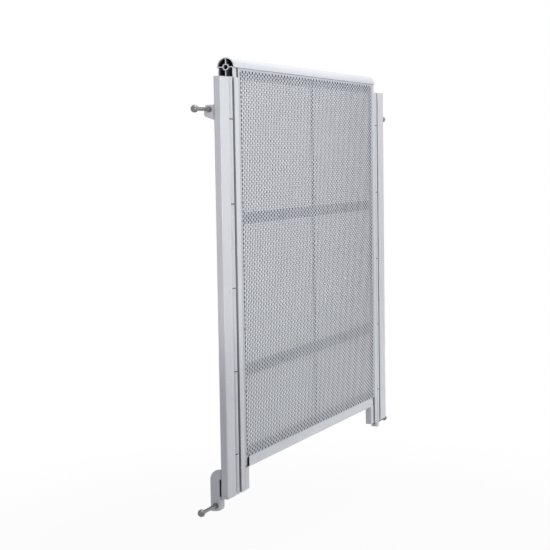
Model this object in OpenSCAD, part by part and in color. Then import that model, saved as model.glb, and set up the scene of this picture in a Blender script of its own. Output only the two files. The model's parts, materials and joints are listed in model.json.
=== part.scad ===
// Hinged crowd barrier panel: a perforated sheet on a tube frame between two narrow posts.
// The origin is the middle of the left post's outer face. +X runs along the barrier to the
// right post, +Y to the rear and +Z up. Each piece is drawn with the posts' feet at zero
// height, and placed() then lowers it to that origin.

/* [Overall] */
// Height of the posts and of the panel's side tubes
post_height = 1095; // [900:1:1300]
// Width over both posts
overall_width = 1196; // [700:1:2000]

/* [Posts] */
// Width of a post
post_width = 50; // [40:1:80]
// Depth of a post
post_depth = 20; // [18:1:30]
// Wall of a post
post_wall = 3; // [2:0.5:5]
// Thickness of a post's closed top
post_cap = 3; // [2:0.5:8]
// Rounding of a post's corners
post_rounding = 2.5; // [1:0.5:4]

/* [Hinges] */
// Space between a post and the panel
hinge_gap = 31; // [29:1:44]
// Outside diameter of a knuckle
knuckle_diameter = 20; // [18:1:22]
// Thickness of the neck between a knuckle and its tube
knuckle_neck = 8; // [5:1:12]
// Height of the lowest and the highest knuckle
end_knuckle = 106; // [60:1:160]
// Gap between two knuckles
knuckle_gap = 3; // [1:0.5:4]
// Knuckles on one hinge
knuckle_count = 6; // [4:2:8]
// Diameter of the hinge pin
pin_diameter = 10; // [8:1:12]
// Radial clearance of the pin in the panel's knuckles
pin_clearance = 0.05; // [0.02:0.01:0.1]

/* [Side tubes] */
// Width of the flange that carries the sheet's side
flange_width = 25; // [20:1:30]
// Thickness of the flanges and of the centre strip
flange_thickness = 3; // [2:0.5:4]
// Depth of the side tubes, mid rails and bottom rail, from the leaf's rear
frame_depth = 13; // [11:0.5:16]
// Distance from a leaf's inner edge to the foot beside it
foot_gap = 6; // [2:0.5:12]
// Width of the feet under the bottom rail
foot_width = 24; // [14:1:30]
// Depth of the feet
foot_depth = 20; // [14:1:24]
// Distance from the leaf's front to the foot's front
foot_setback = 2.5; // [1:0.5:6]
// Rounding of a side tube's corners
side_rounding = 1.5; // [0.5:0.5:3]
// Width of a hinge leaf and of the side tube behind it
leaf_width = 23; // [15:1:30]
// Thickness of a hinge leaf
leaf_thickness = 3; // [2.5:0.5:5]
// Wall of the side tubes, mid rails and bottom rail
frame_wall = 3; // [2:0.5:4]

/* [Top rail] */
// Height of the rail's square part
rail_neck = 27.4; // [20:0.2:45]
// Depth of the rail's square part
rail_depth = 44; // [34:1:60]
// Overhang of the half-round top over the square part, front and rear
rail_overhang = 3; // [2:0.5:6]
// Wall of the rail
rail_wall = 2.8; // [2:0.2:4]
// Width of the notch in the rail's front wall beside the sheet
rail_notch = 6; // [3:0.5:12]
// Thickness of the four webs that hold the core tube
rail_web = 2.6; // [2:0.2:4]
// Outside diameter of the core tube
core_diameter = 18; // [16:1:24]
// Bore of the core tube
core_bore = 12; // [8:1:14]

/* [Panel] */
// Thickness of the perforated sheet
sheet_thickness = 2; // [1.5:0.5:2.5]
// Gap between the sheet's upper edge and the rail's lip
sheet_gap = 0.6; // [0.2:0.2:2]
// Height of the mid rails
mid_rail_height = 30; // [20:1:50]
// Top of the lower mid rail above the foot
lower_rail_top = 336; // [250:1:420]
// Top of the upper mid rail above the foot
upper_rail_top = 742; // [600:1:820]
// Width of the centre strip
centre_width = 20; // [16:1:40]

/* [Perforation] */
// Diameter of a hole
hole_diameter = 8; // [5:0.5:9]
// Distance from a hole to each of the six around it
hole_pitch = 12; // [10:0.5:20]
// Height of the first whole row above the sheet's lower edge
first_row = 10.3; // [10:0.1:14]
// Smallest distance from a hole's axis to the sheet's side and upper edges
hole_edge = 10; // [6:1:15]
// Holes between a tie hole and the frame beside it
tie_inset = 4; // [2:1:6]
// Rough spacing of the wide openings that stand for the other holes
opening_pitch = 94; // [80:1:120]
// Width of the ribs between the wide openings
opening_rib = 31.5; // [20:0.5:40]

/* [Bottom rail] */
// Underside of the bottom rail above the foot
bottom_rail_low = 60; // [30:1:120]
// Height of the bottom rail
bottom_rail_height = 50; // [40:1:80]
// Height of the ledge that the sheet stands on
ledge_height = 27; // [15:1:35]
// Skin of the ledge
ledge_skin = 1.2; // [0.8:0.1:1.6]
// Overlap of the ledge on each side tube
ledge_overlap = 3.3; // [0:0.1:12]

/* [Upper ears] */
// Thickness of the ears' and brackets' side plates
plate = 5; // [4:0.5:8]
// Distance of the upper bolt below the post's top
upper_bolt_drop = 84; // [20:1:300]
// Distance of the upper bolt behind the post
upper_bolt_back = 12.7; // [11:0.1:16]
// Reach of an ear behind the post
ear_reach = 28.4; // [24:0.2:36]
// Height of an ear above its bolt
ear_rise = 12; // [9:0.5:20]
// Drop of an ear below its bolt, at the post
ear_drop = 26.6; // [20:0.2:36]
// Drop of an ear's tip below its bolt
ear_tip_drop = 13.5; // [10:0.5:18]
// Rounding of an ear's upper corner
ear_rounding = 8; // [4:0.5:9]
// Rounding of an ear's tip
ear_tip_rounding = 4; // [2:0.5:5]
// Distance of the upper corner forward of the tip
ear_setback = 2.5; // [0:0.5:5]

/* [Lower brackets] */
// Top of a bracket above the foot
bracket_top = 77; // [72:1:110]
// Reach of a bracket behind the post
bracket_reach = 31.2; // [29:0.2:36]
// Rounding of a bracket's upper corner
bracket_rounding = 28; // [15:1:29]
// Rounding of a bracket's lower corner
bracket_foot_rounding = 4; // [2:0.5:12]
// Depth of a bracket below the foot, at its bolt
bracket_drop = 35; // [32:0.5:45]
// Rise of a bracket's lower edge from its bolt to its leg
bracket_slope = 3.5; // [0:0.5:6]
// Gap between the post and the bent leg
leg_gap = 5; // [4.6:0.1:7]
// Thickness of the bent leg
leg_thickness = 4; // [3:0.5:4.5]
// Width of the bent leg
leg_width = 28; // [18:1:40]
// Chamfer on the leg's lower corner
leg_chamfer = 4.5; // [2:0.5:14]
// Distance from the bracket's top down to the leg's top
leg_top_drop = 8; // [4:1:20]
// Radius of the bend
bend_radius = 4; // [2:0.5:4.5]
// Lower end of the slot above the foot
slot_low = 5.5; // [3:0.5:12]
// Upper end of the slot above the foot
slot_high = 51; // [35:1:60]
// Strip left between the slot and the leg's front
slot_margin = 0.4; // [0.2:0.1:0.5]
// Drop of the lower bolt below the foot
lower_bolt_drop = 19.5; // [17:0.5:24]
// Distance of the lower bolt behind the post
lower_bolt_back = 16.6; // [16:0.1:19]

/* [Bolts] */
// Diameter of a bolt's shank
shank_diameter = 10; // [8:0.5:12]
// Distance of a ball's centre from the post's outer face
ball_reach = 80; // [50:1:110]
// Diameter of the ball head
ball_diameter = 20; // [16:0.5:26]
// Depth of the flat on the ball's end
ball_flat = 0.5; // [0.2:0.1:1.5]
// Diameter of the collar against the plate
collar_diameter = 15; // [13:0.5:16]
// Thickness of the collar
collar_thickness = 3; // [2:0.5:5]
// Diameter of the threaded end
thread_diameter = 8; // [6:0.5:8]
// Clearance of the threaded end in its plate, on the diameter
thread_clearance = 0.6; // [0.2:0.1:1]
// Width of a nut across its flats
nut_width = 13; // [11:0.5:14]
// Thickness of a nut
nut_thickness = 6.5; // [5:0.5:9]
// Length of thread beyond the nut
thread_end = 2; // [1:0.5:4]

/* [Hidden] */
$fn = 64;
cut = 1;
front = -post_depth / 2;
rear = post_depth / 2;
frame_front = front + leaf_thickness;
axis_x = post_width + hinge_gap / 2;
panel_x = post_width + hinge_gap;
panel_end = overall_width - panel_x;
centre_x = overall_width / 2;
centre_low = centre_x - centre_width / 2;
centre_high = centre_x + centre_width / 2;
rail_y = frame_front + rail_depth / 2;
dome_radius = rail_depth / 2 + rail_overhang;
spring_height = post_height + rail_neck;
knuckle_pitch = (post_height - 2 * end_knuckle - knuckle_gap) / (knuckle_count - 2);
bottom_rail_top = bottom_rail_low + bottom_rail_height;
upper_bolt_height = post_height - upper_bolt_drop;
sheet_x = panel_x + leaf_width;
flange_x = sheet_x + flange_width;
foot_x = sheet_x + foot_gap;
inner_x = foot_x + foot_width;
seat = frame_front + flange_thickness;
frame_rear = frame_front + frame_depth;
foot_front = front + foot_setback;
sheet_low = bottom_rail_low + ledge_height;
sheet_high = spring_height - rail_web / 2 - sheet_gap;
column_pitch = hole_pitch * sqrt(3) / 2;
last_column = floor((centre_x - sheet_x - hole_edge) / column_pitch);
last_row = floor((sheet_high - sheet_low - first_row - hole_edge) / hole_pitch);
leg_front = rear + leg_gap;
bracket_front_low = -bracket_drop + bracket_slope;
alloy = [0.80, 0.81, 0.83];
steel = [0.36, 0.37, 0.38];

// Columns are counted from the sheet's middle, rows from its first whole row.
function column_x(column) = centre_x + column * column_pitch;
function row_height(column, row) =
    sheet_low + first_row + (row - (column % 2 == 0 ? 0 : 0.5)) * hole_pitch;
function row_near(height) = round((height - sheet_low - first_row) / hole_pitch);

// Tie holes stand clear of the frame, low, in the middle bay and high.
tie_outer = last_column - tie_inset;
tie_inner = 2 * ceil(centre_width / 4 / column_pitch) + tie_inset;
tie_columns = [-tie_outer, -tie_inner, tie_inner, tie_outer];
tie_rows = [
    row_near(bottom_rail_top) + tie_inset,
    row_near((lower_rail_top + upper_rail_top - mid_rail_height) / 2),
    last_row - tie_inset
];

// Ribs of the wide openings run through the tie holes and evenly between them.
function rib_count(gap) = max(1, round(gap / opening_pitch));
function ribs(stops) = [
    for (i = [1:len(stops) - 1])
        let (gap = stops[i] - stops[i - 1], count = rib_count(gap))
            for (k = [0:count - 1]) stops[i - 1] + gap * k / count,
    stops[len(stops) - 1]
];
rib_columns = ribs([
    sheet_x, column_x(-tie_outer), column_x(-tie_inner), centre_x,
    column_x(tie_inner), column_x(tie_outer), overall_width - sheet_x
]);
rib_rows = ribs([sheet_low, for (row = tie_rows) row_height(0, row), sheet_high]);

module placed() { translate([0, 0, -post_height / 2]) children(); }

module mirrored() { translate([overall_width, 0, 0]) mirror([1, 0, 0]) placed() children(); }

// Box between two opposite corners.
module block(low, high) { translate(low) cube(high - low); }

// Upright bar with rounded corners.
module rounded_bar(low, high, r) {
    block([low.x + r, low.y, low.z], [high.x - r, high.y, high.z]);
    block([low.x, low.y + r, low.z], [high.x, high.y - r, high.z]);
    for (x = [low.x + r, high.x - r], y = [low.y + r, high.y - r])
        translate([x, y, low.z]) cylinder(h = high.z - low.z, r = r);
}

// Round bar along X.
module rod(x0, x1, d) { translate([x0, 0, 0]) rotate([0, 90, 0]) cylinder(h = x1 - x0, d = d); }

// Plate in line with the post's outer face, from an outline of depth and height.
module side_plate() { rotate([90, 0, 90]) linear_extrude(plate) children(); }

// Tube with a closed top and an open foot.
module post() {
    color(alloy) difference() {
        rounded_bar([0, front, 0], [post_width, rear, post_height], post_rounding);
        block([post_wall, front + post_wall, -cut],
              [post_width - post_wall, rear - post_wall, post_height - post_cap]);
    }
}

function knuckle_low(i) =
    i == 0 ? 0 : end_knuckle + knuckle_gap + (i - 1) * knuckle_pitch;
function knuckle_high(i) =
    i == knuckle_count - 1 ? post_height : end_knuckle + i * knuckle_pitch;

// Knuckle with the neck that joins it to the tube face at neck_x.
module knuckle(i, neck_x, bore) {
    low = knuckle_low(i);
    high = knuckle_high(i);
    difference() {
        union() {
            translate([axis_x, 0, low]) cylinder(h = high - low, d = knuckle_diameter);
            block([min(axis_x, neck_x), -knuckle_neck / 2, low],
                  [max(axis_x, neck_x), knuckle_neck / 2, high]);
        }
        translate([axis_x, 0, low - cut]) cylinder(h = high - low + 2 * cut, d = bore);
    }
}

module post_knuckles() {
    color(alloy) for (i = [1:2:knuckle_count - 1]) knuckle(i, post_width, pin_diameter);
}

module panel_knuckles() {
    color(alloy) for (i = [0:2:knuckle_count - 1])
        knuckle(i, panel_x, pin_diameter + 2 * pin_clearance);
}

// Pin without a head. It is tight in the post's knuckles and ends level with them.
module hinge_pin() {
    color(steel) translate([axis_x, 0, 0]) cylinder(h = post_height, d = pin_diameter);
}

module ear_outline() {
    top = upper_bolt_height + ear_rise;
    back = rear + ear_reach;
    hull() {
        translate([rear, top - cut]) square(cut);
        translate([back - ear_setback - ear_rounding, top - ear_rounding])
            circle(r = ear_rounding, $fn = 32);
        translate([back - ear_tip_rounding, upper_bolt_height - ear_tip_drop])
            circle(r = ear_tip_rounding, $fn = 32);
        translate([rear, upper_bolt_height - ear_drop]) square(cut);
    }
}

module upper_ear() {
    color(alloy) difference() {
        side_plate() ear_outline();
        translate([0, rear + upper_bolt_back, upper_bolt_height])
            rod(-cut, plate + cut, thread_diameter + thread_clearance);
    }
}

module bracket_outline() {
    back = rear + bracket_reach;
    intersection() {
        hull() {
            translate([back - bracket_rounding, bracket_top - bracket_rounding])
                circle(r = bracket_rounding, $fn = 64);
            translate([back - bracket_foot_rounding, bracket_foot_rounding - bracket_drop])
                circle(r = bracket_foot_rounding, $fn = 48);
            translate([rear, bracket_top - cut]) square(cut);
            translate([rear, bracket_front_low]) square(cut);
        }
        translate([rear, -bracket_drop]) square([bracket_reach, bracket_top + bracket_drop]);
    }
}

// Front-facing leg of the bracket, behind the post.
module bracket_leg() {
    top = bracket_top - leg_top_drop;
    translate([0, leg_front + leg_thickness, 0]) rotate([90, 0, 0])
        linear_extrude(leg_thickness) polygon([
            [0, top], [leg_width, top], [leg_width, bracket_front_low + leg_chamfer],
            [leg_width - leg_chamfer, bracket_front_low], [0, bracket_front_low]
        ]);
}

// Bent plate: a side plate welded to the post over a slot, and a leg turned in behind it.
module lower_bracket() {
    low = -bracket_drop - cut;
    color(alloy) difference() {
        union() {
            side_plate() bracket_outline();
            bracket_leg();
        }
        block([-cut, rear - cut, low], [plate + cut, leg_front, 0]);
        block([-cut, rear - cut, slot_low], [plate + cut, leg_front - slot_margin, slot_high]);
        difference() {
            block([-cut, leg_front - cut, low], [bend_radius, leg_front + bend_radius, 0]);
            translate([bend_radius, leg_front + bend_radius, low])
                cylinder(h = -low, r = bend_radius);
        }
        translate([0, rear + lower_bolt_back, -lower_bolt_drop])
            rod(-cut, plate + cut, thread_diameter + thread_clearance);
    }
}

// Bolt with a collar outside the plate and a ball head that hooks into the next section.
module ball_bolt(back, height) {
    color(steel) translate([0, rear + back, height]) {
        rod(-ball_reach, 0, shank_diameter);
        rod(-collar_thickness, 0, collar_diameter);
        rod(-collar_thickness, plate + nut_thickness + thread_end, thread_diameter);
        difference() {
            translate([-ball_reach, 0, 0]) sphere(d = ball_diameter);
            translate([-ball_reach - 1.5 * ball_diameter + ball_flat, 0, 0])
                cube([2 * ball_diameter, 2 * ball_diameter, 2 * ball_diameter], center = true);
        }
    }
}

module upper_bolt() { ball_bolt(upper_bolt_back, upper_bolt_height); }

module lower_bolt() { ball_bolt(lower_bolt_back, -lower_bolt_drop); }

module nut(back, height) {
    color(steel) translate([plate, rear + back, height]) rotate([0, 90, 0]) difference() {
        cylinder(h = nut_thickness, d = nut_width / cos(30), $fn = 6);
        translate([0, 0, -cut]) cylinder(h = nut_thickness + 2 * cut, d = thread_diameter);
    }
}

module upper_nut() { nut(upper_bolt_back, upper_bolt_height); }

module lower_nut() { nut(lower_bolt_back, -lower_bolt_drop); }

// Narrow tube behind the leaf, with a flange behind the sheet.
module side_tube() {
    wall = frame_wall;
    color(alloy) difference() {
        union() {
            rounded_bar([panel_x, frame_front, 0], [sheet_x, frame_rear, post_height],
                        side_rounding);
            block([sheet_x - wall, frame_front, 0], [sheet_x, seat, post_height]);
            block([sheet_x - wall, frame_front, sheet_low], [flange_x, seat, post_height]);
        }
        block([panel_x + wall, frame_front + wall, -cut],
              [sheet_x - wall, frame_rear - wall, post_height + cut]);
    }
}

// Tube under the bottom rail, open below.
module foot() {
    wall = frame_wall;
    color(alloy) difference() {
        rounded_bar([foot_x, foot_front, 0],
                    [inner_x, foot_front + foot_depth, bottom_rail_low], side_rounding);
        block([foot_x + wall, foot_front + wall, -cut],
              [inner_x - wall, foot_front + foot_depth - wall, bottom_rail_low - wall]);
    }
}

module hinge_leaf() {
    color(alloy) block([panel_x, front, 0], [sheet_x, frame_front, post_height]);
}

// Half-round top from x0 to x1, cut off below floor_height.
module dome(x0, x1, r, floor_height) {
    intersection() {
        translate([0, rail_y, spring_height]) rod(x0, x1, 2 * r);
        block([x0, rail_y - r, floor_height], [x1, rail_y + r, spring_height + r]);
    }
}

// Extrusion with a half-round top over a square part, and a core tube on four webs.
module top_rail() {
    x0 = panel_x - cut;
    x1 = panel_end + cut;
    low = post_height + rail_wall;
    half = rail_depth / 2 - rail_wall;
    color(alloy) difference() {
        union() {
            dome(panel_x, panel_end, dome_radius, spring_height - rail_web / 2);
            block([panel_x, frame_front, post_height],
                  [panel_end, frame_front + rail_depth, spring_height]);
        }
        difference() {
            union() {
                dome(x0, x1, dome_radius - rail_wall, spring_height);
                block([x0, rail_y - half, low], [x1, rail_y + half, spring_height]);
            }
            translate([0, rail_y, spring_height]) rod(x0 - cut, x1 + cut, core_diameter);
            block([x0 - cut, rail_y - rail_web / 2, post_height],
                  [x1 + cut, rail_y + rail_web / 2, spring_height + dome_radius]);
            block([x0 - cut, rail_y - dome_radius, spring_height - rail_web / 2],
                  [x1 + cut, rail_y + dome_radius, spring_height + rail_web / 2]);
        }
        translate([0, rail_y, spring_height]) rod(x0, x1, core_bore);
        for (x = [sheet_x - rail_notch, overall_width - sheet_x])
            block([x, frame_front - cut, low],
                  [x + rail_notch, frame_front + rail_wall, spring_height - rail_web / 2]);
    }
}

// Box section with a hollow ledge along its front, and a lip behind the sheet above it.
module bottom_rail() {
    ledge_x = inner_x - ledge_overlap;
    ledge_end = overall_width - ledge_x;
    color(alloy) difference() {
        union() {
            block([sheet_x, seat, bottom_rail_low],
                  [overall_width - sheet_x, frame_rear, bottom_rail_top]);
            block([flange_x, frame_front, sheet_low],
                  [overall_width - flange_x, seat, bottom_rail_top]);
            block([ledge_x, front, bottom_rail_low], [ledge_end, seat, sheet_low]);
        }
        block([sheet_x - cut, seat + frame_wall, bottom_rail_low + frame_wall],
              [overall_width - sheet_x + cut, frame_rear - frame_wall,
               bottom_rail_top - frame_wall]);
        block([ledge_x - cut, front + ledge_skin, bottom_rail_low + ledge_skin],
              [ledge_end + cut, seat, sheet_low - ledge_skin]);
    }
}

// Flat strip behind the sheet's middle, let into the front of the mid rails.
module centre_bar() {
    color(alloy)
        block([centre_low, frame_front, bottom_rail_top], [centre_high, seat, post_height]);
}

// Box section from a side tube to the middle, notched for the flange and the centre strip.
module mid_rail(top) {
    low = top - mid_rail_height;
    color(alloy) difference() {
        block([sheet_x, frame_front, low], [centre_x, frame_rear, top]);
        block([sheet_x - cut, frame_front + frame_wall, low + frame_wall],
              [centre_x + cut, frame_rear - frame_wall, top - frame_wall]);
        block([sheet_x - cut, frame_front - cut, low - cut], [flange_x, seat, top + cut]);
        block([centre_low, frame_front - cut, low - cut], [centre_x + cut, seat, top + cut]);
    }
}

// Opening through the sheet between two rib columns and two rib rows.
module wide_opening(x0, x1, z0, z1) {
    half_rib = opening_rib / 2;
    if (min(x1 - x0, z1 - z0) > opening_rib)
        block([x0 + half_rib, frame_front - sheet_thickness - cut, z0 + half_rib],
              [x1 - half_rib, frame_front + cut, z1 - half_rib]);
}

// Sheet with its tie holes. Wide openings of the same open share stand for its other holes.
module perforated_sheet() {
    back = frame_front - sheet_thickness;
    color(alloy) difference() {
        block([sheet_x, back, sheet_low], [overall_width - sheet_x, frame_front, sheet_high]);
        for (column = tie_columns, row = tie_rows)
            translate([column_x(column), frame_front + cut, row_height(column, row)])
                rotate([90, 0, 0]) cylinder(h = sheet_thickness + 2 * cut, d = hole_diameter);
        for (i = [1:len(rib_columns) - 1], k = [1:len(rib_rows) - 1])
            wide_opening(rib_columns[i - 1], rib_columns[i], rib_rows[k - 1], rib_rows[k]);
    }
}

placed() post();  // left_post
placed() post_knuckles();  // left_post_knuckles
placed() hinge_pin();  // left_hinge_pin
placed() upper_ear();  // left_upper_ear
placed() lower_bracket();  // left_lower_bracket
placed() upper_bolt();  // left_upper_bolt
placed() lower_bolt();  // left_lower_bolt
placed() upper_nut();  // left_upper_nut
placed() lower_nut();  // left_lower_nut
placed() side_tube();  // left_side_tube
placed() hinge_leaf();  // left_hinge_leaf
placed() panel_knuckles();  // left_panel_knuckles
placed() top_rail();
placed() foot();  // left_foot
mirrored() foot();  // right_foot
placed() bottom_rail();
placed() centre_bar();
placed() mid_rail(upper_rail_top);  // upper_left_rail
mirrored() mid_rail(upper_rail_top);  // upper_right_rail
placed() mid_rail(lower_rail_top);  // lower_left_rail
mirrored() mid_rail(lower_rail_top);  // lower_right_rail
placed() perforated_sheet();
mirrored() side_tube();  // right_side_tube
mirrored() hinge_leaf();  // right_hinge_leaf
mirrored() panel_knuckles();  // right_panel_knuckles
mirrored() post();  // right_post
mirrored() post_knuckles();  // right_post_knuckles
mirrored() hinge_pin();  // right_hinge_pin
mirrored() upper_ear();  // right_upper_ear
mirrored() lower_bracket();  // right_lower_bracket
mirrored() upper_bolt();  // right_upper_bolt
mirrored() lower_bolt();  // right_lower_bolt
mirrored() upper_nut();  // right_upper_nut
mirrored() lower_nut();  // right_lower_nut
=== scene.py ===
"""Dresses the hinged crowd barrier panel: perforation, rivets, welds, finishes and studio."""

import json
import math

import bpy
import numpy as np
from mathutils import Matrix, Vector


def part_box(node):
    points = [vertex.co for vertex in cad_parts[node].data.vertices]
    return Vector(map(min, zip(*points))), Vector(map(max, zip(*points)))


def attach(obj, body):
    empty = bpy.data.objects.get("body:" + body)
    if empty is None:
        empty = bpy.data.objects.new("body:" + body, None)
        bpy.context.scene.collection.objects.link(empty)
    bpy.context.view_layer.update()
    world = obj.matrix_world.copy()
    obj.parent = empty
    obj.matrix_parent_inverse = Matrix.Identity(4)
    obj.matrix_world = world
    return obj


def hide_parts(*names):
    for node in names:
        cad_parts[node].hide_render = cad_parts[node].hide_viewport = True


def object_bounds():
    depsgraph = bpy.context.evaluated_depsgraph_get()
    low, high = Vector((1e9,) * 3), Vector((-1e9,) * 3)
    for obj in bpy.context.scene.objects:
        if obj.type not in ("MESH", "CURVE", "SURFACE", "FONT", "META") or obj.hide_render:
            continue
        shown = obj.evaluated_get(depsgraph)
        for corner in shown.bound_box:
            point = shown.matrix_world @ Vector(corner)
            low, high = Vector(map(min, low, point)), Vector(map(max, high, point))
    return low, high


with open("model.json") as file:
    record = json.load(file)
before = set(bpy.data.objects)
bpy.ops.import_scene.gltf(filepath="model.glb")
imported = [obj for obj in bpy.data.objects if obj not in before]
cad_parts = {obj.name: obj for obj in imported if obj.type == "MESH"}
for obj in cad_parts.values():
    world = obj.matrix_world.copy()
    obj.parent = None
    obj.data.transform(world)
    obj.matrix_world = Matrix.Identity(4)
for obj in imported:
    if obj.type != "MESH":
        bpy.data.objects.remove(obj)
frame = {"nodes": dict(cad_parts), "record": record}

bl_info = {
    "name": "Crowd Barrier Panel",
    "version": (1, 0, 0),
    "blender": (4, 5, 0),
    "location": "3D View > Sidebar > Barrier",
    "description": "Perforates, rivets, welds and finishes a hinged crowd barrier panel",
    "category": "Object",
}

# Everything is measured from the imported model, in metres.
CAD_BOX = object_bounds()
SHEET_LOW, SHEET_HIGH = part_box("perforated_sheet")
POST_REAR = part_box("left_post")[1].y
TUBE_LOW, TUBE_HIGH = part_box("left_side_tube")
RIGHT_TUBE_LOW, RIGHT_TUBE_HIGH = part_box("right_side_tube")
TIE_HOLE = next(m for m in frame["record"]["mounts"] if m["name"] == "tie_hole_low_left")

LEFT_BODY = "left_post_unit"
PANEL_BODY = "panel_unit"
RIGHT_BODY = "right_post_unit"

STEEL_SLOT = "zinc_steel"

# Directions in which each kind of piece was drawn, as stretches of its grain.
ALONG_X = (0.02, 1.0, 1.0)
ALONG_Z = (1.0, 1.0, 0.02)
NO_GRAIN = (1.0, 1.0, 1.0)

HORIZONTAL_NODES = (
    "top_rail", "bottom_rail",
    "upper_left_rail", "upper_right_rail", "lower_left_rail", "lower_right_rail",
)
PLATE_ENDINGS = ("_ear", "_bracket")

# Points closer than this are one point of the sheet.
WELD_DISTANCE = 1e-6
# Depth of a bead's ripples as a share of its radius, and area of its blunt ends as a share of
# its full section.
RIPPLE_DEPTH = 0.10
END_AREA = 0.05
# Most of a noise texture's values lie between these.
NOISE_LOW, NOISE_HIGH = 0.25, 0.75
# How strongly worn edges are lightened, and how much lighter than the metal they get.
WORN_SHARE = 0.5
WORN_LIGHTER = 1.3
# How much is taken off the roughness in scratches and on worn edges.
SCRATCH_SMOOTHER = 0.12
WORN_SMOOTHER = 0.10
# Height of the surface's fine relief, and depth of a scratch as a share of it.
RELIEF_HEIGHT = 0.0002
SCRATCH_DEPTH = 0.8
# Half the floor's side, and how far the camera sees.
FLOOR_HALF = 14.0
CAMERA_REACH = 50.0
SKY_COLOUR = (0.97, 0.985, 1.0, 1)
FLOOR_COLOUR = (0.55, 0.55, 0.55, 1)
FLOOR_ROUGHNESS = 0.9
# Name, place, target and size of each lamp, and the setting for the width of a narrow beam.
LAMPS = (
    ("front", (0.6, -3.2, 1.2), (0.6, 0, 0.1), (3.0, 2.0), None),
    ("top", (0.6, -0.3, 2.8), (0.6, 0, 0.3), (2.4, 1.6), None),
    ("over", (0.6, -1.6, 2.6), (0.6, 0, 0.3), (2.4, 1.0), None),
    ("right", (3.2, -2.6, 0.6), (1.0, 0, 0), (2.0, 2.0), None),
    ("left", (-3.4, -0.5, 0.38), (0, 0, 0.38), (0.8, 1.13), "narrow_spread"),
    ("corner", (-2.2, -2.6, 0.38), (0.2, 0, 0.38), (1.0, 1.13), "narrow_spread"),
    ("low", (2.6, -2.6, -0.55), (0.95, 0, -0.42), (1.3, 0.4), "low_spread"),
)


class BarrierPerforation(bpy.types.PropertyGroup):
    """Round holes in staggered columns"""

    pitch: bpy.props.FloatProperty(
        name="Pitch", description="Distance from a hole to each of the six around it",
        default=0.012, min=0.006, unit="LENGTH", precision=4,
    )
    radius: bpy.props.FloatProperty(
        name="Hole Radius", description="Radius of a hole",
        default=TIE_HOLE["dims"]["r_mm"] / 1000, min=0.001, unit="LENGTH", precision=4,
    )
    side_margin: bpy.props.FloatProperty(
        name="Side Margin", description="Smallest distance from a hole's axis to the sheet's sides",
        default=0.010, min=0.0, unit="LENGTH", precision=4,
    )
    rim: bpy.props.FloatProperty(
        name="Rim", description="Least metal beside a hole at the sheet's lower and upper edges",
        default=0.0002, min=0.0, unit="LENGTH", precision=4,
    )
    segments: bpy.props.IntProperty(
        name="Segments", description="Sides of a hole's wall", default=18, min=6, max=32,
    )
    pieces: bpy.props.IntProperty(
        name="Pieces", description="Meshes that the sheet is split into", default=4, min=1, max=12,
    )


class BarrierRivets(bpy.types.PropertyGroup):
    """Blind rivets that hold the sheet to its frame"""

    head_radius: bpy.props.FloatProperty(
        name="Head Radius", description="Radius of a rivet's head",
        default=0.0056, min=0.001, unit="LENGTH", precision=4,
    )
    head_height: bpy.props.FloatProperty(
        name="Head Height", description="How far a head stands out from the sheet",
        default=0.001, min=0.0002, unit="LENGTH", precision=4,
    )
    stem_radius: bpy.props.FloatProperty(
        name="Stem Radius", description="Radius of the broken stem in a head's middle",
        default=0.0014, min=0.0003, unit="LENGTH", precision=4,
    )
    rows_between: bpy.props.IntProperty(
        name="Rows Between", description="Rows of holes from one rivet to the next above it",
        default=14, min=2,
    )
    quarter_column: bpy.props.IntProperty(
        name="Quarter Column", default=24, min=2,
        description="Columns of holes from the middle to the rivets halfway to the sides",
    )


class BarrierWelds(bpy.types.PropertyGroup):
    """Weld beads where the frame's tubes and the posts' plates meet"""

    radius: bpy.props.FloatProperty(
        name="Bead Radius", description="Radius of a bead",
        default=0.0026, min=0.0005, unit="LENGTH", precision=4,
    )
    ripple: bpy.props.FloatProperty(
        name="Ripple", description="Length of one ripple along a bead",
        default=0.0022, min=0.0005, unit="LENGTH", precision=4,
    )
    seam_sink: bpy.props.FloatProperty(
        name="Seam Sink", description="Part of the radius that a bead on a flush seam is sunk",
        default=0.62, min=0.0, max=0.9, subtype="FACTOR",
    )


class BarrierFinish(bpy.types.PropertyGroup):
    """Colours and sheen of the metals"""

    alloy: bpy.props.FloatVectorProperty(
        name="Alloy", description="Colour of the extruded aluminium",
        default=(0.615, 0.63, 0.67), size=3, min=0.0, max=1.0, subtype="COLOR",
    )
    sheet: bpy.props.FloatVectorProperty(
        name="Sheet", description="Colour of the perforated sheet",
        default=(0.475, 0.492, 0.545), size=3, min=0.0, max=1.0, subtype="COLOR",
    )
    # Dull punched edges, darkened to near black as painted shade inside the holes.
    edge: bpy.props.FloatVectorProperty(
        name="Punched Edge", description="Colour of the dull edges inside the holes",
        default=(0.08, 0.083, 0.092), size=3, min=0.0, max=1.0, subtype="COLOR",
    )
    steel: bpy.props.FloatVectorProperty(
        name="Steel", description="Colour of the bolts, nuts and pins",
        default=(0.22, 0.22, 0.225), size=3, min=0.0, max=1.0, subtype="COLOR",
    )
    alloy_metallic: bpy.props.FloatProperty(
        name="Alloy Metallic", description="Share of the aluminium's light that is mirrored",
        default=0.25, min=0.0, max=1.0, subtype="FACTOR",
    )
    steel_metallic: bpy.props.FloatProperty(
        name="Steel Metallic", description="Share of the steel's light that is mirrored",
        default=0.5, min=0.0, max=1.0, subtype="FACTOR",
    )
    # Painted shade: the least share of its colour that aluminium keeps deep in recesses.
    recess_shade_darkest: bpy.props.FloatProperty(
        name="Darkest Recess", description="Share of its colour that aluminium keeps deep inside",
        default=0.04, min=0.0, max=1.0, subtype="FACTOR",
    )


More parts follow.
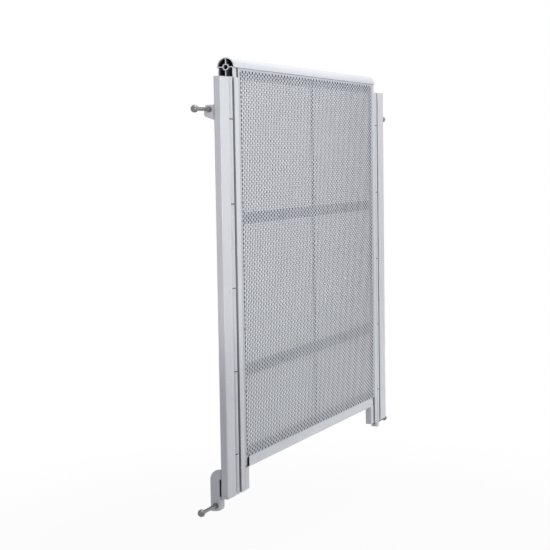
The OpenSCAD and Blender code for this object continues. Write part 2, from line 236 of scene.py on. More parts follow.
class BarrierStage(bpy.types.PropertyGroup):
    """Camera, floor and lamps"""

    camera_place: bpy.props.FloatVectorProperty(
        name="Camera Place", description="Where the camera stands",
        default=(-3.0609, -1.5697, 0.3348), size=3, subtype="TRANSLATION", unit="LENGTH",
    )
    camera_turn: bpy.props.FloatProperty(
        name="Camera Turn", description="Direction of view, turned from +X towards +Y",
        default=math.radians(24.81), subtype="ANGLE",
    )
    camera_drop: bpy.props.FloatProperty(
        name="Camera Drop", description="How far the view points below the horizon",
        default=math.radians(4.938), subtype="ANGLE",
    )
    camera_roll: bpy.props.FloatProperty(
        name="Camera Roll", description="Tilt of the picture, clockwise",
        default=math.radians(0.899), subtype="ANGLE",
    )
    camera_angle: bpy.props.FloatProperty(
        name="Camera Angle", description="Width of the view",
        default=math.radians(23.167), subtype="ANGLE",
    )
    floor_gap: bpy.props.FloatProperty(
        name="Floor Gap", description="Height of the barrier's lowest point over the floor",
        default=0.25, min=0.0, unit="LENGTH",
    )
    floor_white: bpy.props.FloatProperty(
        name="Floor White", default=0.95, min=0.0, max=1.0, subtype="FACTOR",
        description="Share of plain white in the floor below the barrier as the camera sees it",
    )
    floor_fade: bpy.props.FloatProperty(
        name="Floor Fade", description="Distance at which the floor has faded into plain white",
        default=1.6, min=0.5, unit="LENGTH",
    )
    sky: bpy.props.FloatProperty(
        name="Sky", description="Strength of the even light from all around",
        default=0.236, min=0.0,
    )
    front_power: bpy.props.FloatProperty(
        name="Front Lamp", description="Power of the wide lamp before the panel",
        default=7.4, min=0.0, unit="POWER",
    )
    top_power: bpy.props.FloatProperty(
        name="Top Lamp", description="Power of the lamp overhead",
        default=39.5, min=0.0, unit="POWER",
    )
    over_power: bpy.props.FloatProperty(
        name="Over Lamp", description="Power of the lamp above the front",
        default=37.0, min=0.0, unit="POWER",
    )
    right_power: bpy.props.FloatProperty(
        name="Right Lamp", description="Power of the lamp at the front right",
        default=15.0, min=0.0, unit="POWER",
    )
    left_power: bpy.props.FloatProperty(
        name="Left Lamp", description="Power of the narrow lamp beside the left post",
        default=0.58, min=0.0, unit="POWER",
    )
    corner_power: bpy.props.FloatProperty(
        name="Corner Lamp", description="Power of the narrow lamp at the front left",
        default=0.76, min=0.0, unit="POWER",
    )
    low_power: bpy.props.FloatProperty(
        name="Low Lamp", description="Power of the flat lamp at the low front right",
        default=0.32, min=0.0, unit="POWER",
    )
    narrow_spread: bpy.props.FloatProperty(
        name="Narrow Spread", description="Width of the left and corner lamps' beams",
        default=math.radians(6), min=math.radians(2), max=math.pi, subtype="ANGLE",
    )
    low_spread: bpy.props.FloatProperty(
        name="Low Spread", description="Width of the low lamp's beam",
        default=math.radians(14), min=math.radians(2), max=math.pi, subtype="ANGLE",
    )


# --- Mesh helpers ---------------------------------------------------------------------------


def mesh_from_arrays(name, points, triangles, quads):
    """Mesh from arrays of points and of faces with three and four corners."""
    mesh = bpy.data.meshes.new(name)
    corners = np.concatenate([triangles.ravel(), quads.ravel()])
    sizes = np.concatenate([np.full(len(triangles), 3), np.full(len(quads), 4)])
    starts = np.concatenate([[0], np.cumsum(sizes)[:-1]])
    mesh.vertices.add(len(points))
    mesh.vertices.foreach_set("co", points.astype(np.float32).ravel())
    mesh.loops.add(len(corners))
    mesh.loops.foreach_set("vertex_index", corners.astype(np.int32))
    mesh.polygons.add(len(sizes))
    mesh.polygons.foreach_set("loop_start", starts.astype(np.int32))
    mesh.update(calc_edges=True)
    mesh.validate()
    return mesh


def add_piece(mesh, body, material, smooth_degrees=35):
    """Object for a mesh that rides on a body and takes its finish from a slot."""
    mesh.polygons.foreach_set("use_smooth", np.ones(len(mesh.polygons), bool))
    mesh.set_sharp_from_angle(angle=math.radians(smooth_degrees))
    mesh.materials.append(material)
    piece = bpy.data.objects.new(mesh.name, mesh)
    bpy.context.collection.objects.link(piece)
    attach(piece, body)
    return piece


def joined(parts):
    """One set of points and quads from a list of (points, quads)."""
    points, quads, count = [], [], 0
    for part_points, part_quads in parts:
        points.append(part_points)
        quads.append(part_quads + count)
        count += len(part_points)
    return np.concatenate(points), np.concatenate(quads)


def lathe(profile, centre, axis, segments):
    """Points and quads of a closed profile of (radius, height) turned about an axis."""
    axis = Vector(axis).normalized()
    side = axis.orthogonal().normalized()
    other = axis.cross(side)
    points = []
    for step in range(segments):
        turn = 2 * math.pi * step / segments
        spoke = side * math.cos(turn) + other * math.sin(turn)
        points += [Vector(centre) + spoke * r + axis * h for r, h in profile]
    rings = len(profile)
    quads = [
        (a * rings + k, b * rings + k, b * rings + k + 1, a * rings + k + 1)
        for a in range(segments)
        for b in [(a + 1) % segments]
        for k in range(rings - 1)
    ]
    return np.array(points), np.array(quads)


# --- Perforated sheet -----------------------------------------------------------------------


class Lattice:
    """Where the sheet's holes are, from the tie hole's place and the sheet's box."""

    def __init__(self, settings):
        self.pitch = settings.pitch
        self.step = settings.pitch * math.sqrt(3) / 2
        self.centre = (SHEET_LOW.x + SHEET_HIGH.x) / 2
        half = (SHEET_HIGH.x - SHEET_LOW.x) / 2 - settings.side_margin
        self.last = int(half / self.step)
        self.low = SHEET_LOW.z + settings.radius + settings.rim
        self.high = SHEET_HIGH.z - settings.radius - settings.rim
        self.anchor = TIE_HOLE["pos_m"][2]

    def columns(self):
        """Numbers of the columns, 0 in the middle."""
        return range(-self.last, self.last + 1)

    def x(self, column):
        """Place of a column's axes."""
        return self.centre + column * self.step

    def heights(self, column):
        """Heights of a column's holes, lowest first."""
        shift = self.anchor + (column % 2) * self.pitch / 2
        first = math.ceil((self.low - shift) / self.pitch)
        last = math.floor((self.high - shift) / self.pitch)
        return shift + np.arange(first, last + 1) * self.pitch

    def brick_edges(self, column):
        """Heights that part a column into one brick for each hole."""
        heights = self.heights(column)
        between = (heights[:-1] + heights[1:]) / 2
        return np.concatenate([[SHEET_LOW.z], between, [SHEET_HIGH.z]])

    def brick_sides(self, column):
        """Left and right edge of a column's bricks."""
        left = SHEET_LOW.x if column == -self.last else self.x(column) - self.step / 2
        right = SHEET_HIGH.x if column == self.last else self.x(column) + self.step / 2
        return left, right


def rivet_places(lattice, settings):
    """(column, height) of each rivet."""
    whole_rows = lattice.heights(0)
    places = set()
    for column in (-lattice.last, 0, lattice.last):
        places |= {(column, z) for z in whole_rows[:: settings.rows_between]}
    quarter = settings.quarter_column
    for column in (-quarter, quarter):
        places |= {(column, z) for z in (whole_rows[0], whole_rows[-1])}
    for rail in ("upper_left_rail", "lower_left_rail"):
        low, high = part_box(rail)
        rows = lattice.heights(quarter - 1)
        nearest = rows[np.argmin(np.abs(rows - (low.z + high.z) / 2))]
        places |= {(column, nearest) for column in (1 - quarter, quarter - 1)}
    return places


def ring_template(outline, radius, segments):
    """Triangles between a round hole at the origin and an outline around it."""
    count = len(outline)
    turns = 2 * np.pi * np.arange(segments) / segments
    circle = radius * np.stack([np.cos(turns), np.sin(turns)], 1)
    outer = np.arctan2(outline[:, 1], outline[:, 0]) % (2 * np.pi)
    order = np.argsort(outer)
    outer = outer[order]
    triangles = []
    i, k = 0, 0
    while i < segments or k < count:
        next_inner = turns[i] if i < segments else np.inf
        next_outer = outer[k] if k < count else np.inf
        here_inner = (i - 1) % segments
        here_outer = segments + order[(k - 1) % count]
        if next_inner <= next_outer:
            triangles.append((here_inner, here_outer, i % segments))
            i += 1
        else:
            triangles.append((here_inner, here_outer, segments + order[k % count]))
            k += 1
    return np.concatenate([circle, outline]), np.array(triangles)


def fan_template(outline):
    """Triangles that fill an outline around a point without a hole."""
    count = len(outline)
    points = np.concatenate([[[0.0, 0.0]], outline])
    triangles = [(0, 1 + k, 1 + (k + 1) % count) for k in range(count)]
    return points, np.array(triangles)


def brick_outline(lattice, column, z, low, high):
    """Outline of a hole's brick about its hole, with a point wherever a neighbour has a corner."""
    left, right = lattice.brick_sides(column)

    def side_heights(neighbour):
        """Heights at which a neighbouring column's bricks have corners."""
        if abs(neighbour) > lattice.last:
            return []
        edges = lattice.brick_edges(neighbour)
        return [e for e in edges if low + WELD_DISTANCE < e < high - WELD_DISTANCE]

    x = lattice.x(column)
    rising = [(right - x, e - z) for e in [low, *side_heights(column + 1), high]]
    falling = [(left - x, e - z) for e in [high, *side_heights(column - 1)[::-1], low]]
    return np.array(rising + falling)


def front_face(lattice, settings, columns, plugged):
    """Welded points (x, z) and triangles of the sheet's front over some of its columns."""
    templates = {}
    points, triangles, count = [], [], 0
    for column in columns:
        edges = lattice.brick_edges(column)
        for row, z in enumerate(lattice.heights(column)):
            outline = brick_outline(lattice, column, z, edges[row], edges[row + 1])
            is_plugged = (column, z) in plugged
            key = (is_plugged, np.round(outline, decimals=7).tobytes())
            if key not in templates:
                templates[key] = (
                    fan_template(outline) if is_plugged
                    else ring_template(outline, settings.radius, settings.segments)
                )
            brick_points, brick_triangles = templates[key]
            points.append(brick_points + (lattice.x(column), z))
            triangles.append(brick_triangles + count)
            count += len(brick_points)
    points, triangles = np.concatenate(points), np.concatenate(triangles)
    _, first, index = np.unique(
        np.round(points / WELD_DISTANCE).astype(np.int64),
        axis=0, return_index=True, return_inverse=True,
    )
    return points[first], index.ravel()[triangles]


def open_edges(triangles):
    """Directed edges that only one triangle has."""
    edges = np.concatenate([triangles[:, [0, 1]], triangles[:, [1, 2]], triangles[:, [2, 0]]])
    size = triangles.max() + 1
    forward = edges[:, 0] * size + edges[:, 1]
    backward = edges[:, 1] * size + edges[:, 0]
    return edges[~np.isin(forward, backward)]


def sheet_mesh(name, points, triangles):
    """Solid sheet from its front face."""
    count = len(points)
    front = np.stack([points[:, 0], np.full(count, SHEET_LOW.y), points[:, 1]], 1)
    back = front.copy()
    back[:, 1] = SHEET_HIGH.y
    a, b = open_edges(triangles).T
    walls = np.stack([b, a, a + count, b + count], 1)
    faces = np.concatenate([triangles, triangles[:, ::-1] + count])
    mesh = mesh_from_arrays(name, np.concatenate([front, back]), faces, walls)
    # The hole walls take the second slot, painted near black as shade inside the holes.
    slots = np.concatenate([np.zeros(len(faces), np.int32), np.ones(len(walls), np.int32)])
    mesh.polygons.foreach_set("material_index", slots)
    return mesh


class BARRIER_OT_perforated_sheet(bpy.types.Operator):
    """Makes the sheet with all its holes, in place of the plain one"""

    bl_idname = "barrier.perforated_sheet"
    bl_label = "Perforated Sheet"

    def execute(self, context):
        settings = context.scene.barrier_perforation
        lattice = Lattice(settings)
        plugged = rivet_places(lattice, context.scene.barrier_rivets)
        material = bpy.data.materials["sheet_alloy"]
        for index, columns in enumerate(np.array_split(list(lattice.columns()), settings.pieces)):
            columns = [int(column) for column in columns]
            points, triangles = front_face(lattice, settings, columns, plugged)
            mesh = sheet_mesh(f"perforated_sheet_{index + 1}", points, triangles)
            piece = add_piece(mesh, PANEL_BODY, material)
            mesh.materials.append(bpy.data.materials["punched_edge"])
            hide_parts("perforated_sheet")
        return {"FINISHED"}


# --- Rivets ---------------------------------------------------------------------------------


def rivet_profile(settings):
    """Half outline of a domed head with a broken stem in a dished middle."""
    edge, height, stem = settings.head_radius, settings.head_height, settings.stem_radius
    dish = stem * 1.35
    # Heights of the outline's turns, as shares of the head's height.
    rim, dome_base, dish_top, dish_floor, stem_side, stem_top = 0.15, 0.35, 0.45, 0.4, 0.72, 0.78
    # The dome's arc starts upright at its edge and ends just short of level.
    first_turn, last_turn, arc_points = math.pi / 2, 0.12, 6
    dome = [
        (dish + (edge - dish) * math.sin(turn),
         height * (dome_base + (1 - dome_base) * math.cos(turn)))
        for turn in np.linspace(first_turn, last_turn, arc_points)
    ]
    return [
        (0.0, 0.0), (edge * 0.98, 0.0), (edge, height * rim), *dome,
        (dish, height * dish_top), (stem, height * dish_floor), (stem * 0.94, height * stem_side),
        (0.0, height * stem_top),
    ]


class BARRIER_OT_rivets(bpy.types.Operator):
    """Makes the rivets that hold the sheet"""

    bl_idname = "barrier.rivets"
    bl_label = "Rivets"

    def execute(self, context):
        settings = context.scene.barrier_rivets
        lattice = Lattice(context.scene.barrier_perforation)
        profile = rivet_profile(settings)
        heads = [
            lathe(profile, (lattice.x(column), SHEET_LOW.y, z), (0, -1, 0), segments=24)
            for column, z in sorted(rivet_places(lattice, settings))
        ]
        points, quads = joined(heads)
        mesh = mesh_from_arrays("sheet_rivets", points, np.empty((0, 3), int), quads)
        add_piece(mesh, PANEL_BODY, bpy.data.materials["rivet_steel"])
        return {"FINISHED"}


# --- Welds ----------------------------------------------------------------------------------


def bead(start, end, settings, sink=(0, 0, 0), sides=12, rings_per_ripple=4):
    """Points and quads of a rippled bead from start to end, moved by sink."""
    start, end = Vector(start) + Vector(sink), Vector(end) + Vector(sink)
    along = end - start
    length = along.length
    along.normalize()
    side = along.orthogonal().normalized()
    other = along.cross(side)
    ripples = max(2, round(length / settings.ripple))
    count = ripples * rings_per_ripple
    points = []
    for ring in range(count + 1):
        place = ring / count
        within = (ring % rings_per_ripple) / rings_per_ripple
        radius = settings.radius * (1 - RIPPLE_DEPTH + RIPPLE_DEPTH * math.sin(math.pi * within))
        end_distance = min(place, 1 - place) * length
        radius *= math.sqrt(min(1.0, END_AREA + end_distance / settings.radius))
        for step in range(sides):
            turn = 2 * math.pi * step / sides
            spoke = side * math.cos(turn) + other * math.sin(turn)
            points.append(start + along * (place * length) + spoke * radius)
    quads = [
        (r * sides + s, r * sides + (s + 1) % sides,
         (r + 1) * sides + (s + 1) % sides, (r + 1) * sides + s)
        for r in range(count)
        for s in range(sides)
    ]
    return np.array(points), np.array(quads)


def seat_depth():
    """Depth of the rear of the frame's flanges and of the centre strip."""
    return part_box("centre_bar")[1].y


def rail_beads(node, x, settings, flush_top=False):
    """Beads around a rail at x: over it, down its rear and under it."""
    low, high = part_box(node)
    front, sunk = seat_depth(), settings.radius * settings.seam_sink
    return [
        bead((x, front, high.z), (x, high.y, high.z), settings, (0, 0, -sunk * flush_top)),
        bead((x, high.y, high.z), (x, high.y, low.z), settings, (0, -sunk, 0)),
        bead((x, high.y, low.z), (x, front, low.z), settings),
    ]


def frame_beads(settings):
    """Beads of the panel's frame."""
    strip_low, strip_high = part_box("centre_bar")
    seat, rear, top = seat_depth(), TUBE_HIGH.y, TUBE_HIGH.z
    rail_top = strip_low.z
    middle = (strip_low.x + strip_high.x) / 2
    mid_rails = ("upper_left_rail", "lower_left_rail")
    beads = []
    for x in (SHEET_LOW.x, SHEET_HIGH.x):
        beads += rail_beads("bottom_rail", x, settings)
    for rail in mid_rails:
        for x in (SHEET_LOW.x, middle, SHEET_HIGH.x):
            beads += rail_beads(rail, x, settings, flush_top=x == middle)
    for side, inner, flange in (
        (TUBE_LOW.x, SHEET_LOW.x, TUBE_HIGH.x), (RIGHT_TUBE_HIGH.x, SHEET_HIGH.x, RIGHT_TUBE_LOW.x),
    ):
        beads.append(bead((side, rear, top), (inner, rear, top), settings))
        beads.append(bead((inner, seat, rail_top), (flange, seat, rail_top), settings))
    for foot in ("left_foot", "right_foot"):
        low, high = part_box(foot)
        for x in (low.x, high.x):
            beads.append(bead((x, seat, high.z), (x, rear, high.z), settings))
    heights = [rail_top, top]
    for rail in mid_rails:
        heights += [corner.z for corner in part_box(rail)]
    for z in heights:
        beads.append(bead((strip_low.x, seat, z), (strip_high.x, seat, z), settings))
    return beads


def plate_beads(side, inner_x, settings):
    """Beads inside the corner between a post and its ear and bracket."""
    ear_low, ear_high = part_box(f"{side}_upper_ear")
    _, bracket_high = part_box(f"{side}_lower_bracket")
    slot = next(o for o in frame["record"]["physics"]["openings"]
                if o["name"] == f"{side}_bracket_slot")
    slot_top = slot["box_m"][1][2]
    return [
        bead((inner_x, POST_REAR, ear_low.z), (inner_x, POST_REAR, ear_high.z), settings),
        bead((inner_x, POST_REAR, slot_top), (inner_x, POST_REAR, bracket_high.z), settings),
    ]


class BARRIER_OT_welds(bpy.types.Operator):
    """Makes the weld beads"""

    bl_idname = "barrier.welds"
    bl_label = "Welds"

    def execute(self, context):
        settings = context.scene.barrier_welds
        plate_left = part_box("left_upper_ear")[1].x
        plate_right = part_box("right_upper_ear")[0].x
        for name, body, beads in (
            ("frame_welds", PANEL_BODY, frame_beads(settings)),
            ("left_post_welds", LEFT_BODY, plate_beads("left", plate_left, settings)),
            ("right_post_welds", RIGHT_BODY, plate_beads("right", plate_right, settings)),
        ):
            points, quads = joined(beads)
            mesh = mesh_from_arrays(name, points, np.empty((0, 3), int), quads)
            add_piece(mesh, body, bpy.data.materials["weld_alloy"],
                      smooth_degrees=60)
        return {"FINISHED"}


# --- Finishes -------------------------------------------------------------------------------


def new_group(name, inputs, outputs, normal=None):
    """Shader node group. Inputs are (name, kind, default), outputs and normal are names."""
    group = bpy.data.node_groups.new(name, "ShaderNodeTree")
    for label, kind, default in inputs:
        socket = group.interface.new_socket(label, in_out="INPUT", socket_type=kind)
        socket.default_value = default
    for label in outputs:
        group.interface.new_socket(label, in_out="OUTPUT", socket_type="NodeSocketFloat")
    if normal:
        group.interface.new_socket(normal, in_out="OUTPUT", socket_type="NodeSocketVector")
    nodes = group.nodes
    return group, nodes.new("NodeGroupInput"), nodes.new("NodeGroupOutput")


def feed(tree, socket, value):
    """Gives a socket a value of its own or another node's output."""
    if isinstance(value, bpy.types.NodeSocket):
        tree.links.new(value, socket)
    else:
        socket.default_value = value


def math_node(tree, operation, first, second):
    """Result of a sum on two numbers or sockets."""
    node = tree.nodes.new("ShaderNodeMath")
    node.operation = operation
    feed(tree, node.inputs[0], first)
    feed(tree, node.inputs[1], second)
    return node.outputs[0]


def map_range(tree, value, start, end, low=0.0, high=1.0):
    """Value between start and end brought to low to high."""
    node = tree.nodes.new("ShaderNodeMapRange")
    feed(tree, node.inputs["Value"], value)
    feed(tree, node.inputs["From Min"], start)
    feed(tree, node.inputs["From Max"], end)
    feed(tree, node.inputs["To Min"], low)
    feed(tree, node.inputs["To Max"], high)
    return node.outputs["Result"]


def mix_colours(tree, factor, first, second, blend="MIX"):
    """Colour between two colours, or the two blended in another way."""
    node = tree.nodes.new("ShaderNodeMix")
    node.data_type = "RGBA"
    node.blend_type = blend
    feed(tree, node.inputs["Factor"], factor)
    feed(tree, node.inputs["A"], first)
    feed(tree, node.inputs["B"], second)
    return node.outputs["Result"]


def scaled(colour, factor):
    """Colour with alpha, made lighter or darker."""
    return (*[min(1.0, channel * factor) for channel in colour], 1)


def vector_node(tree, operation, first, second):
    """Vector maths node on two vectors or sockets."""
    node = tree.nodes.new("ShaderNodeVectorMath")
    node.operation = operation
    feed(tree, node.inputs[0], first)
    feed(tree, node.inputs[1], second)
    return node


def noise_node(tree, vector, scale, detail=3.0, roughness=0.55):
    """Noise value over a vector."""
    node = tree.nodes.new("ShaderNodeTexNoise")
    feed(tree, node.inputs["Vector"], vector)
    feed(tree, node.inputs["Scale"], scale)
    feed(tree, node.inputs["Detail"], detail)
    feed(tree, node.inputs["Roughness"], roughness)
    return node.outputs["Fac"]


def object_vector(tree):
    """Place on the object, in metres."""
    return tree.nodes.new("ShaderNodeTexCoord").outputs["Object"]


def drawn_grain_group():
    """Fine lines and broad streaks that drawing through a die leaves along a bar."""
    group, given, result = new_group(
        "Drawn Grain",
        [("Stretch", "NodeSocketVector", NO_GRAIN), ("Fineness", "NodeSocketFloat", 900.0)],
        ["Lines", "Streaks"],
    )
    vector = vector_node(group, "MULTIPLY", object_vector(group), given.outputs["Stretch"])
    lines = noise_node(group, vector.outputs[0], given.outputs["Fineness"])
    # The streaks' fineness, as a share of the lines'.
    streak_share = 0.12
    broad = math_node(group, "MULTIPLY", given.outputs["Fineness"], streak_share)
    streaks = noise_node(group, vector.outputs[0], broad, detail=2.0)
    group.links.new(lines, result.inputs["Lines"])
    group.links.new(streaks, result.inputs["Streaks"])


def handling_group():
    """Soft mottling and sparse scratches from handling and stacking."""
    group, given, result = new_group(
        "Handling Marks",
        [("Mottle Scale", "NodeSocketFloat", 14.0), ("Scratch Scale", "NodeSocketFloat", 38.0)],
        ["Mottle", "Scratches"],
    )
    vector = object_vector(group)
    mottle = noise_node(group, vector, given.outputs["Mottle Scale"], detail=5.0, roughness=0.6)
    cracks = group.nodes.new("ShaderNodeTexVoronoi")
    cracks.feature = "DISTANCE_TO_EDGE"
    feed(group, cracks.inputs["Vector"], vector)
    feed(group, cracks.inputs["Scale"], given.outputs["Scratch Scale"])
    # Half a scratch's width as a share of its cell, and the noise above which there are any.
    half_width, least_noise = 0.006, 0.60
    thin = math_node(group, "LESS_THAN", cracks.outputs["Distance"], half_width)
    noise = noise_node(group, vector, given.outputs["Scratch Scale"])
    sparse = math_node(group, "GREATER_THAN", noise, least_noise)
    group.links.new(mottle, result.inputs["Mottle"])
    group.links.new(math_node(group, "MULTIPLY", thin, sparse), result.inputs["Scratches"])


def painted_recess_shade_group():
    """Painted shade: darkens colour and mirrored share where faces stand close together and light
    seldom reaches.
    """
    group, given, result = new_group(
        "Recess",
        [("Reach", "NodeSocketFloat", 0.03), ("Darkest", "NodeSocketFloat", 0.05)],
        ["Open"],
    )
    occlusion = group.nodes.new("ShaderNodeAmbientOcclusion")
    occlusion.samples = 8
    group.links.new(given.outputs["Reach"], occlusion.inputs["Distance"])
    # Open shares of the surroundings that count as shut in and as clear.
    shut_in, clear = 0.15, 0.72
    openness = map_range(group, occlusion.outputs["AO"], shut_in, clear, given.outputs["Darkest"])
    group.links.new(openness, result.inputs["Open"])


def worn_edges_group():
    """Edges rounded a little by their normal, and the patches along them that are rubbed bright."""
    group, given, result = new_group(
        "Worn Edges",
        [("Radius", "NodeSocketFloat", 0.0007), ("Patch Scale", "NodeSocketFloat", 26.0)],
        ["Worn"], normal="Rounded",
    )
    rounded = group.nodes.new("ShaderNodeBevel")
    rounded.samples = 4
    group.links.new(given.outputs["Radius"], rounded.inputs["Radius"])
    surface = group.nodes.new("ShaderNodeNewGeometry").outputs["Normal"]
    turn = vector_node(group, "DOT_PRODUCT", rounded.outputs["Normal"], surface)
    # Cosines of the normal's turn where wear begins and where it is full.
    slight, sharp = 0.995, 0.86
    edge = map_range(group, turn.outputs["Value"], slight, sharp)
    noise = noise_node(group, object_vector(group), given.outputs["Patch Scale"], detail=4.0)
    # Noise where the rubbed patches begin and where they are full, and the wear between them.
    patch_begins, patch_full, least_wear = 0.42, 0.62, 0.15
    patches = map_range(group, noise, patch_begins, patch_full, low=least_wear)
    worn = math_node(group, "MULTIPLY", edge, patches)
    group.links.new(worn, result.inputs["Worn"])
    group.links.new(rounded.outputs["Normal"], result.inputs["Rounded"])


def placed_group(tree, name):
    """Node that uses one of the groups above."""
    node = tree.nodes.new("ShaderNodeGroup")
    node.node_tree = bpy.data.node_groups[name]
    return node


def metal_material(name, colour, metallic, roughness, fineness, relief, stretch=NO_GRAIN,
                   spread=0.05, recess_shade_darkest=None):
    """Metal with grain, mottling, scratches and worn edges. Roughness is (low, high)."""
    material = bpy.data.materials.new(name)
    material.use_nodes = True
    tree = material.node_tree
    shader = tree.nodes["Principled BSDF"]
    shader.inputs["Metallic"].default_value = metallic
    grain = placed_group(tree, "Drawn Grain")
    grain.inputs["Stretch"].default_value = stretch
    grain.inputs["Fineness"].default_value = fineness
    marks = placed_group(tree, "Handling Marks")
    streaks = math_node(tree, "MULTIPLY", grain.outputs["Streaks"], 0.5)
    mottle = math_node(tree, "MULTIPLY", marks.outputs["Mottle"], 0.5)
    shade = map_range(tree, math_node(tree, "ADD", streaks, mottle), NOISE_LOW, NOISE_HIGH)
    paint = mix_colours(tree, shade, scaled(colour, 1 - spread), scaled(colour, 1 + spread))
    # Painted shade: colour and mirrored share are darkened in recesses, where faces stand close
    # together.
    if recess_shade_darkest is not None:
        recess_shade = placed_group(tree, "Recess")
        recess_shade.inputs["Darkest"].default_value = recess_shade_darkest
        paint = mix_colours(tree, 1.0, paint, recess_shade.outputs["Open"], blend="MULTIPLY")
        mirrored = math_node(tree, "MULTIPLY", recess_shade.outputs["Open"], metallic)
        tree.links.new(mirrored, shader.inputs["Metallic"])
    edges = placed_group(tree, "Worn Edges")
    rubbed = math_node(tree, "MULTIPLY", edges.outputs["Worn"], WORN_SHARE)
    paint = mix_colours(tree, rubbed, paint, scaled(colour, WORN_LIGHTER))
    tree.links.new(paint, shader.inputs["Base Color"])
    rough = map_range(tree, grain.outputs["Streaks"], NOISE_LOW, NOISE_HIGH, *roughness)
    for mask, smoother in (
        (marks.outputs["Scratches"], SCRATCH_SMOOTHER), (edges.outputs["Worn"], WORN_SMOOTHER),
    ):
        rough = math_node(tree, "SUBTRACT", rough, math_node(tree, "MULTIPLY", mask, smoother))
    tree.links.new(rough, shader.inputs["Roughness"])
    bump = tree.nodes.new("ShaderNodeBump")
    bump.inputs["Strength"].default_value = relief
    bump.inputs["Distance"].default_value = RELIEF_HEIGHT
    scratched = math_node(tree, "MULTIPLY", marks.outputs["Scratches"], SCRATCH_DEPTH)
    height = math_node(tree, "SUBTRACT", grain.outputs["Lines"], scratched)
    tree.links.new(height, bump.inputs["Height"])
    tree.links.new(edges.outputs["Rounded"], bump.inputs["Normal"])
    tree.links.new(bump.outputs["Normal"], shader.inputs["Normal"])
    return material


class BARRIER_OT_finishes(bpy.types.Operator):
    """Makes the metals and gives each solid its own"""

    bl_idname = "barrier.finishes"
    bl_label = "Finishes"

    def execute(self, context):
        finish = context.scene.barrier_finish
        drawn_grain_group()
        handling_group()
        painted_recess_shade_group()
        worn_edges_group()
        alloy = {"colour": tuple(finish.alloy), "metallic": finish.alloy_metallic}
        steel = {"colour": tuple(finish.steel), "metallic": finish.steel_metallic}
        tube = {**alloy, "roughness": (0.34, 0.46), "fineness": 900, "relief": 0.10,
                "recess_shade_darkest": finish.recess_shade_darkest}
        upright = metal_material("upright_alloy", **tube, stretch=ALONG_Z)
        level = metal_material("level_alloy", **tube, stretch=ALONG_X)
        plate = metal_material("plate_alloy", **alloy, roughness=(0.40, 0.54), fineness=500,
                               relief=0.12, recess_shade_darkest=finish.recess_shade_darkest)
        metal_material("sheet_alloy", tuple(finish.sheet), finish.alloy_metallic,
                       roughness=(0.38, 0.50), fineness=700, relief=0.06, stretch=ALONG_X)
        # Painted shade: the hole walls get a near-black colour that stands in for the shade inside
        # the holes.
        metal_material("punched_edge", tuple(finish.edge), 0.0,
                       roughness=(0.6, 0.75), fineness=1500, relief=0.15)
        metal_material("rivet_steel", **steel, roughness=(0.34, 0.46), fineness=900, relief=0.08)
        metal_material("weld_alloy", **alloy, roughness=(0.32, 0.50), fineness=1400, relief=0.20,
                       spread=0.10)
        bolt = metal_material("bolt_steel", **steel, roughness=(0.20, 0.32), fineness=1100,
                              relief=0.10)
        for node, solid in frame["nodes"].items():
            slot = next(s["material_slot"] for s in frame["record"]["subparts"]
                        if s["node"] == node)
            material = upright
            if slot == STEEL_SLOT:
                material = bolt
            elif node in HORIZONTAL_NODES:
                material = level
            elif node.endswith(PLATE_ENDINGS):
                material = plate
            solid.data.materials.clear()
            solid.data.materials.append(material)
        return {"FINISHED"}


# --- Stage ----------------------------------------------------------------------------------


def view_matrix(stage):
    """Placing of the camera from its turn, drop and roll."""
    turn, drop, roll = stage.camera_turn, stage.camera_drop, stage.camera_roll
    ahead = Vector((math.cos(turn) * math.cos(drop), math.sin(turn) * math.cos(drop),
                    -math.sin(drop)))
    right = Vector((math.sin(turn), -math.cos(turn), 0))
    down = ahead.cross(right)
    rolled_right = right * math.cos(roll) + down * math.sin(roll)
    rolled_down = down * math.cos(roll) - right * math.sin(roll)
    axes = Matrix((rolled_right, -rolled_down, -ahead)).transposed()
    return Matrix.Translation(stage.camera_place) @ axes.to_4x4()


def add_camera(stage):
    """Camera that the scene is seen with."""
    data = bpy.data.cameras.new("camera")
    data.lens = data.sensor_width / 2 / math.tan(stage.camera_angle / 2)
    data.clip_end = CAMERA_REACH
    camera = bpy.data.objects.new("camera", data)
    bpy.context.collection.objects.link(camera)
    camera.matrix_world = view_matrix(stage)
    bpy.context.scene.camera = camera


def add_lamp(name, place, target, size, power, spread):
    """Rectangular lamp that faces a target."""
    data = bpy.data.lights.new(name, "AREA")
    data.shape = "RECTANGLE"
    data.size, data.size_y = size
    data.energy = power
    data.spread = spread
    lamp = bpy.data.objects.new(name, data)
    bpy.context.collection.objects.link(lamp)
    place = Vector(place)
    aim = (Vector(target) - place).to_track_quat("-Z", "Y")
    lamp.matrix_world = Matrix.Translation(place) @ aim.to_matrix().to_4x4()


def seen_directly(tree):
    """1 where the camera, a reflection or clear glass looks at this, 0 where it lights things."""
    path = tree.nodes.new("ShaderNodeLightPath").outputs
    seen = math_node(tree, "MAXIMUM", path["Is Camera Ray"], path["Is Glossy Ray"])
    return math_node(tree, "MAXIMUM", seen, path["Is Transmission Ray"])


def add_world(stage):
    """Even light from all around, and plain white where it is seen itself."""
    world = bpy.data.worlds.new("studio")
    bpy.context.scene.world = world
    world.use_nodes = True
    tree = world.node_tree
    light = tree.nodes["Background"]
    light.inputs["Color"].default_value = SKY_COLOUR
    light.inputs["Strength"].default_value = stage.sky
    white = tree.nodes.new("ShaderNodeBackground")
    white.inputs["Color"].default_value = (1, 1, 1, 1)
    mix = tree.nodes.new("ShaderNodeMixShader")
    tree.links.new(seen_directly(tree), mix.inputs["Fac"])
    tree.links.new(light.outputs[0], mix.inputs[1])
    tree.links.new(white.outputs[0], mix.inputs[2])
    tree.links.new(mix.outputs[0], tree.nodes["World Output"].inputs["Surface"])


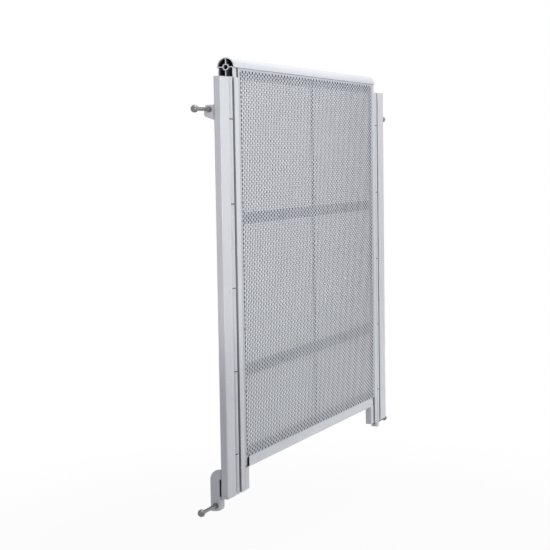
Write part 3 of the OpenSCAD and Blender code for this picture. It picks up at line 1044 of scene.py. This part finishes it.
def floor_material(stage):
    """Pale floor that fades into plain white away from the barrier."""
    material = bpy.data.materials.new("studio_floor")
    material.use_nodes = True
    tree = material.node_tree
    plain = tree.nodes["Principled BSDF"]
    plain.inputs["Base Color"].default_value = FLOOR_COLOUR
    plain.inputs["Roughness"].default_value = FLOOR_ROUGHNESS
    white = tree.nodes.new("ShaderNodeEmission")
    mix = tree.nodes.new("ShaderNodeMixShader")
    middle = (CAD_BOX[0] + CAD_BOX[1]) / 2
    place = tree.nodes.new("ShaderNodeNewGeometry").outputs["Position"]
    below = (middle.x, middle.y, CAD_BOX[0].z - stage.floor_gap)
    offset = vector_node(tree, "DISTANCE", place, below)
    whiteness = map_range(tree, offset.outputs["Value"], stage.floor_fade / 2, stage.floor_fade,
                          stage.floor_white)
    share = math_node(tree, "MULTIPLY", seen_directly(tree), whiteness)
    tree.links.new(share, mix.inputs["Fac"])
    tree.links.new(plain.outputs[0], mix.inputs[1])
    tree.links.new(white.outputs[0], mix.inputs[2])
    tree.links.new(mix.outputs[0], tree.nodes["Material Output"].inputs["Surface"])
    return material


def add_floor(stage):
    """Plain floor below the barrier."""
    half, height = FLOOR_HALF, CAD_BOX[0].z - stage.floor_gap
    corners = [(-half, -half, height), (half, -half, height), (half, half, height),
               (-half, half, height)]
    mesh = bpy.data.meshes.new("studio_floor")
    mesh.from_pydata(corners, [], [(0, 1, 2, 3)])
    mesh.materials.append(floor_material(stage))
    floor = bpy.data.objects.new("studio_floor", mesh)
    bpy.context.collection.objects.link(floor)


class BARRIER_OT_stage(bpy.types.Operator):
    """Sets the camera, floor, world and lamps"""

    bl_idname = "barrier.stage"
    bl_label = "Stage"

    def execute(self, context):
        stage = context.scene.barrier_stage
        context.scene.view_settings.view_transform = "Standard"
        add_camera(stage)
        add_world(stage)
        add_floor(stage)
        for name, place, target, size, narrow in LAMPS:
            spread = getattr(stage, narrow) if narrow else math.pi
            add_lamp(name, place, target, size, getattr(stage, f"{name}_power"), spread)
        return {"FINISHED"}


# --- Add-on ---------------------------------------------------------------------------------


class BARRIER_PT_tools(bpy.types.Panel):
    """Lists the barrier's tools"""

    bl_idname = "BARRIER_PT_tools"
    bl_label = "Crowd Barrier Panel"
    bl_space_type = "VIEW_3D"
    bl_region_type = "UI"
    bl_category = "Barrier"

    def draw(self, context):
        for operator in OPERATORS:
            self.layout.operator(operator.bl_idname)
        for name in SETTINGS:
            box = self.layout.box()
            group = getattr(context.scene, name)
            for label in group.bl_rna.properties.keys():
                if label not in {"rna_type", "name"}:
                    box.prop(group, label)


# Finishes come first, because the pieces take their materials from them.
OPERATORS = (
    BARRIER_OT_finishes,
    BARRIER_OT_perforated_sheet,
    BARRIER_OT_rivets,
    BARRIER_OT_welds,
    BARRIER_OT_stage,
)

SETTINGS = {
    "barrier_perforation": BarrierPerforation,
    "barrier_rivets": BarrierRivets,
    "barrier_welds": BarrierWelds,
    "barrier_finish": BarrierFinish,
    "barrier_stage": BarrierStage,
}


def register():
    """Adds the settings, operators and panel."""
    for cls in (*SETTINGS.values(), *OPERATORS, BARRIER_PT_tools):
        bpy.utils.register_class(cls)
    for name, cls in SETTINGS.items():
        setattr(bpy.types.Scene, name, bpy.props.PointerProperty(type=cls))


def unregister():
    """Takes them away again."""
    for name in SETTINGS:
        delattr(bpy.types.Scene, name)
    for cls in reversed((*SETTINGS.values(), *OPERATORS, BARRIER_PT_tools)):
        bpy.utils.unregister_class(cls)


def main():
    """Dresses the barrier."""
    register()
    bpy.ops.barrier.finishes()
    bpy.ops.barrier.perforated_sheet()
    bpy.ops.barrier.rivets()
    bpy.ops.barrier.welds()
    bpy.ops.barrier.stage()


if __name__ == "__main__":
    main()
